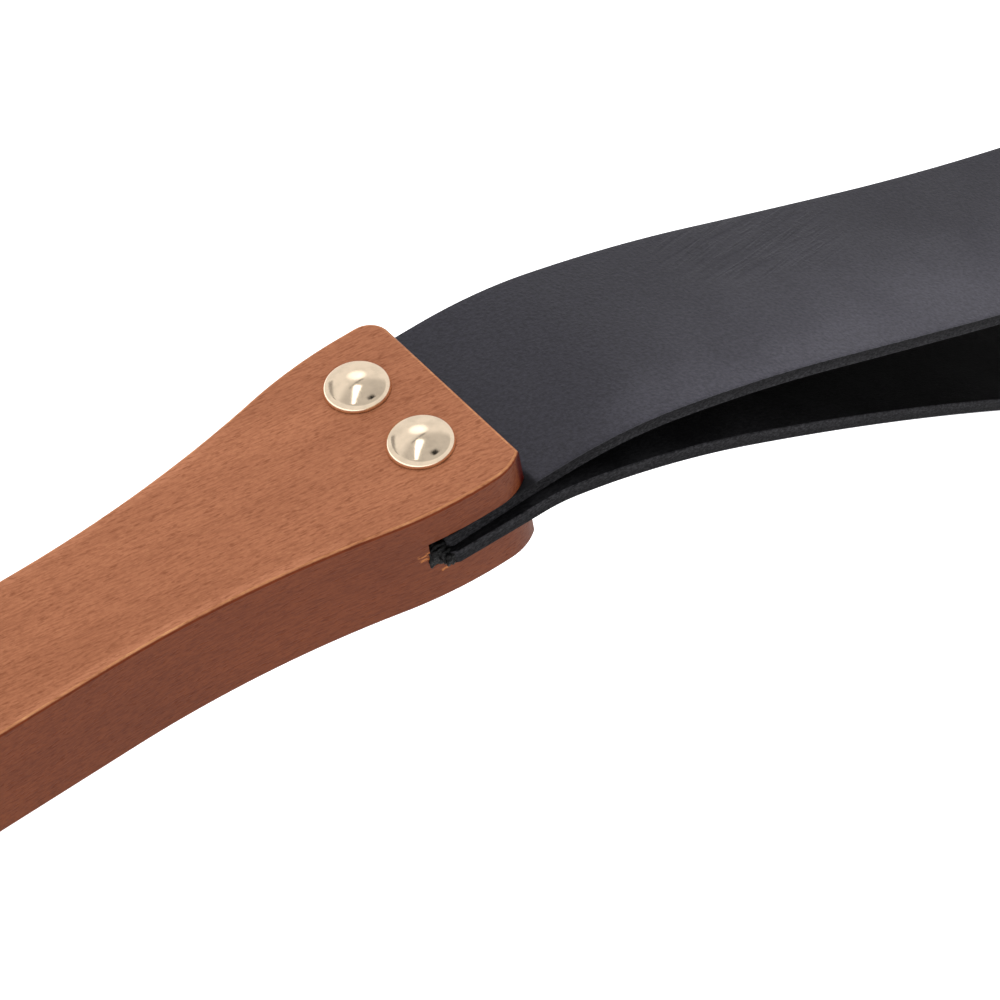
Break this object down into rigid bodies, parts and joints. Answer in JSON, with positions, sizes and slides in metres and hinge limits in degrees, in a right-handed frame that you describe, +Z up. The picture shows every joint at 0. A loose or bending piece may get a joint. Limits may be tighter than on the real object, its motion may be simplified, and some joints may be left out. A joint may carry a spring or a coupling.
{
  "type": "leather strop",
  "caption": "Strop with leather straps riveted one above the other into the slotted head of a wooden handle.",
  "frame": {"origin": "on the ground under the middle of the length, on the handle's centre plane", "axes": "+X along the straps, away from the handle; +Y across the straps; +Z up from the ground"},
  "size_m": [0.4474, 0.0466, 0.0654],
  "materials": {
    "stained_wood": "reddish brown stain under satin varnish",
    "black_leather": "smooth black grain, soft sheen",
    "gold_cap": "pale gold plate, polished",
    "rivet_steel": "plain"
  },
  "bodies": {
    "handle": {"wooden_handle": "stained_wood", "upper_strap_root": "black_leather", "lower_strap_root": "black_leather", "far_rivet_top_cap": "gold_cap", "far_rivet_post": "rivet_steel", "far_rivet_socket": "rivet_steel", "far_rivet_bottom_cap": "gold_cap", "near_rivet_top_cap": "gold_cap", "near_rivet_post": "rivet_steel", "near_rivet_socket": "rivet_steel", "near_rivet_bottom_cap": "gold_cap"},
    "upper_strap": {"upper_strap_blade": "black_leather"},
    "lower_strap": {"lower_strap_blade": "black_leather"}
  },
  "joints": [
    {"name": "upper_strap_flex", "type": "hinge", "parent": "handle", "child": "upper_strap", "pos_m": [-0.06556, 0, 0.05968], "axis": [0, 1, 0], "range_deg": [-40, 3.5], "stiffness_Nm_per_rad": 0.5, "springref_deg": -5.16},
    {"name": "lower_strap_flex", "type": "hinge", "parent": "handle", "child": "lower_strap", "pos_m": [-0.0645, -0.0022, 0.05592], "axis": [0, 1, 0], "range_deg": [-3.5, 40], "stiffness_Nm_per_rad": 0.5, "springref_deg": 9.74}
  ]
}
